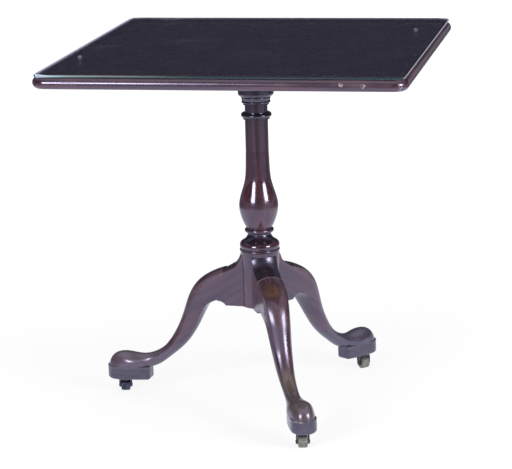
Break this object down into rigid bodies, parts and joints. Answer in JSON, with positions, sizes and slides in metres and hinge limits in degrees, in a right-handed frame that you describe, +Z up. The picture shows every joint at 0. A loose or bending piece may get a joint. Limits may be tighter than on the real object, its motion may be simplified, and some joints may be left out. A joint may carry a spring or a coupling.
{
  "type": "tray top tea table",
  "caption": "Tilt-top tea table: a square tray top with a moulded rim under a loose glass plate, on a turned baluster pillar with cabriole legs and swivel casters.",
  "frame": {"origin": "on the floor, on the pillar's axis, under the middle of the top", "axes": "+Z up, +X to the right along the front edge, +Y to the back"},
  "size_m": [0.687, 0.735, 0.72],
  "materials": {
    "mahogany": "glossy varnish",
    "underframe": "matte oil",
    "glass": "polished",
    "pad": "clear, soft",
    "latch_brass": "aged",
    "wheel_brass": "tarnished",
    "iron": "dark, worn",
    "screw_steel": "dull"
  },
  "bodies": {
    "pedestal": {"pillar": "mahogany", "tilt_block": "underframe", "tenon_wedge": "underframe", "pivot_pin_front": "underframe", "pivot_pin_back": "underframe", "strike_plate": "latch_brass", "strike_screws": "screw_steel", "leg_brace": "iron", "brace_screws": "screw_steel", "leg_left": "mahogany", "foot_block_left": "mahogany", "caster_plate_left": "iron", "caster_screws_left": "screw_steel", "leg_front": "mahogany", "foot_block_front": "mahogany", "caster_plate_front": "iron", "caster_screws_front": "screw_steel", "leg_right": "mahogany", "foot_block_right": "mahogany", "caster_plate_right": "iron", "caster_screws_right": "screw_steel"},
    "top": {"tray_board": "mahogany", "rim_front": "mahogany", "rim_right": "mahogany", "rim_back": "mahogany", "rim_left": "mahogany", "glass_pads": "pad", "batten_front": "underframe", "batten_back": "underframe", "batten_screws": "screw_steel", "latch_plate": "latch_brass", "latch_screws": "screw_steel"},
    "glass": {"glass_plate": "glass"},
    "latch": {"latch_bolt": "latch_brass", "latch_knob": "latch_brass"},
    "caster_left": {"caster_horn_left": "iron", "caster_axle_left": "iron"},
    "wheel_left": {"caster_wheel_left": "wheel_brass"},
    "caster_front": {"caster_horn_front": "iron", "caster_axle_front": "iron"},
    "wheel_front": {"caster_wheel_front": "wheel_brass"},
    "caster_right": {"caster_horn_right": "iron", "caster_axle_right": "iron"},
    "wheel_right": {"caster_wheel_right": "wheel_brass"}
  },
  "joints": [
    {"name": "top_tilt", "type": "hinge", "parent": "pedestal", "child": "top", "pos_m": [0.0655, 0, 0.675], "axis": [0, 1, 0], "range_deg": [0, 90]},
    {"name": "glass_lift", "type": "slide", "parent": "top", "child": "glass", "axis": [0, 0, 1], "range_m": [0, 0.2]},
    {"name": "latch_slide", "type": "slide", "parent": "top", "child": "latch", "axis": [1, 0, 0], "range_m": [0, 0.012]},
    {"name": "swivel_left", "type": "hinge", "parent": "pedestal", "child": "caster_left", "pos_m": [-0.29238, 0.02558, 0.0289], "axis": [0, 0, 1], "continuous": true},
    {"name": "roll_left", "type": "hinge", "parent": "caster_left", "child": "wheel_left", "pos_m": [-0.29377, 0.03346, 0.012], "axis": [-0.9848, -0.1736, 0], "continuous": true},
    {"name": "swivel_front", "type": "hinge", "parent": "pedestal", "child": "caster_front", "pos_m": [0.12589, -0.26513, 0.0289], "axis": [0, 0, 1], "continuous": true},
    {"name": "roll_front", "type": "hinge", "parent": "caster_front", "child": "wheel_front", "pos_m": [0.12756, -0.27295, 0.012], "axis": [0.9781, 0.2079, 0], "continuous": true},
    {"name": "swivel_right", "type": "hinge", "parent": "pedestal", "child": "caster_right", "pos_m": [0.16199, 0.24474, 0.0289], "axis": [0, 0, 1], "continuous": true},
    {"name": "roll_right", "type": "hinge", "parent": "caster_right", "child": "wheel_right", "pos_m": [0.16735, 0.2388, 0.012], "axis": [0.7431, 0.6691, 0], "continuous": true}
  ]
}
